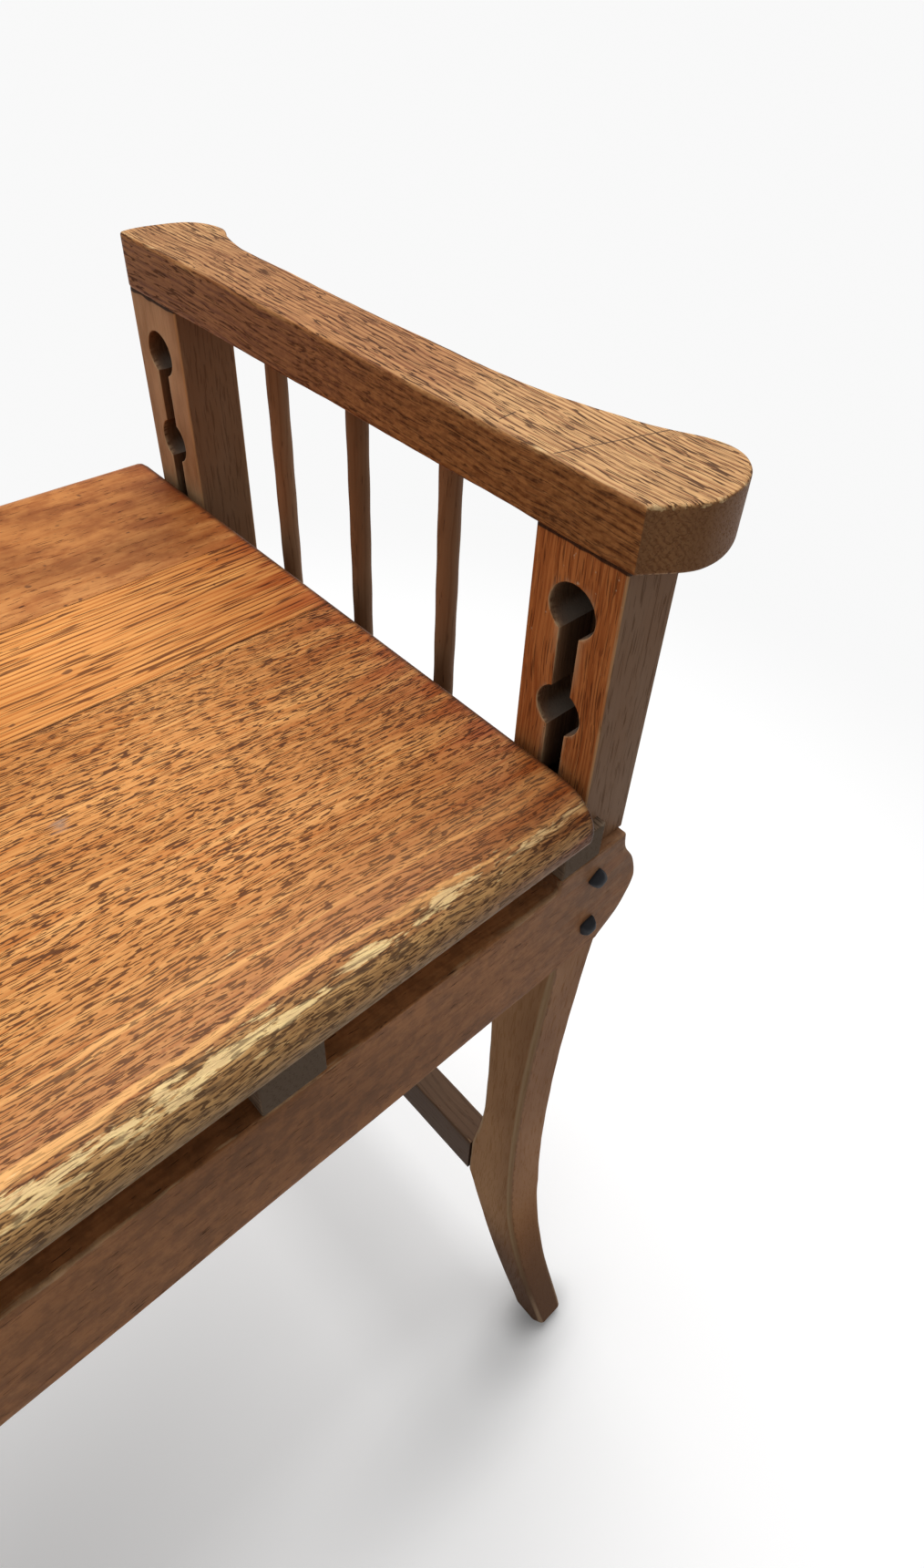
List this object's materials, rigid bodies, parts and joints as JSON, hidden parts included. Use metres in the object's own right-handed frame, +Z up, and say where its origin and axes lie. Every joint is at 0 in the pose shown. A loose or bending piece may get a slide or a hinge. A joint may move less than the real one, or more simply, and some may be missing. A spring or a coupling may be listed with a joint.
{
  "type": "adjustable stool",
  "caption": "Oak stool with low spindled arms, sabre legs and a boarded seat that lifts in keyhole-slotted posts and locks at set heights.",
  "frame": {"origin": "on the floor, under the middle of the stool", "axes": "+Z up, +X along the seat towards the right arm, +Y to the back"},
  "size_m": [0.504, 0.3842, 0.6114],
  "materials": {
    "oak_seat": "old varnish, worn pale at the front edge",
    "oak_arm": "thin old varnish, open grain",
    "oak_frame": "dull old stain",
    "oak_end_grain": "bare grey end grain",
    "black_iron": "blackened iron"
  },
  "bodies": {
    "frame": {"front_post_right": "oak_frame", "front_post_left": "oak_frame", "rear_post_right": "oak_frame", "rear_post_left": "oak_frame", "arm_right": "oak_arm", "arm_left": "oak_arm", "spindle_right_1": "oak_frame", "spindle_right_2": "oak_frame", "spindle_right_3": "oak_frame", "spindle_left_1": "oak_frame", "spindle_left_2": "oak_frame", "spindle_left_3": "oak_frame", "side_rail_right": "oak_frame", "side_rail_left": "oak_frame", "stretcher_right": "oak_frame", "stretcher_left": "oak_frame", "front_rail": "oak_frame", "rear_rail": "oak_frame", "front_block_1": "oak_end_grain", "front_block_2": "oak_end_grain", "front_block_3": "oak_end_grain", "front_block_4": "oak_end_grain", "rear_block_1": "oak_end_grain", "rear_block_2": "oak_end_grain", "rear_block_3": "oak_end_grain", "rear_block_4": "oak_end_grain", "coach_screw_front_right_upper": "black_iron", "coach_screw_front_right_lower": "black_iron", "coach_screw_front_left_upper": "black_iron", "coach_screw_front_left_lower": "black_iron", "coach_screw_rear_right_upper": "black_iron", "coach_screw_rear_right_lower": "black_iron", "coach_screw_rear_left_upper": "black_iron", "coach_screw_rear_left_lower": "black_iron"},
    "seat": {"seat_board_front": "oak_seat", "seat_board_middle": "oak_seat", "seat_board_rear": "oak_seat", "bearer_1": "oak_frame", "bearer_2": "oak_frame", "bearer_3": "oak_frame", "bearer_4": "oak_frame", "bearer_screw_1_front": "black_iron", "bearer_screw_1_rear": "black_iron", "bearer_screw_2_front": "black_iron", "bearer_screw_2_rear": "black_iron", "bearer_screw_3_front": "black_iron", "bearer_screw_3_rear": "black_iron", "bearer_screw_4_front": "black_iron", "bearer_screw_4_rear": "black_iron"},
    "front_rod": {"front_lock_rod": "black_iron", "front_key_head_right": "black_iron", "front_key_head_left": "black_iron", "front_lock_lever": "black_iron", "front_lever_pin": "black_iron"},
    "rear_rod": {"rear_lock_rod": "black_iron", "rear_key_head_right": "black_iron", "rear_key_head_left": "black_iron", "rear_lock_lever": "black_iron", "rear_lever_pin": "black_iron"}
  },
  "joints": [
    {"name": "seat_lift", "type": "slide", "parent": "frame", "child": "seat", "axis": [0, 0, 1], "range_m": [0, 0.1293]},
    {"name": "front_rod_turn", "type": "hinge", "parent": "seat", "child": "front_rod", "pos_m": [0, -0.1306, 0.4337], "axis": [1, 0, 0], "range_deg": [0, 90]},
    {"name": "rear_rod_turn", "type": "hinge", "parent": "seat", "child": "rear_rod", "pos_m": [0, 0.1306, 0.4337], "axis": [-1, 0, 0], "range_deg": [0, 90]}
  ]
}
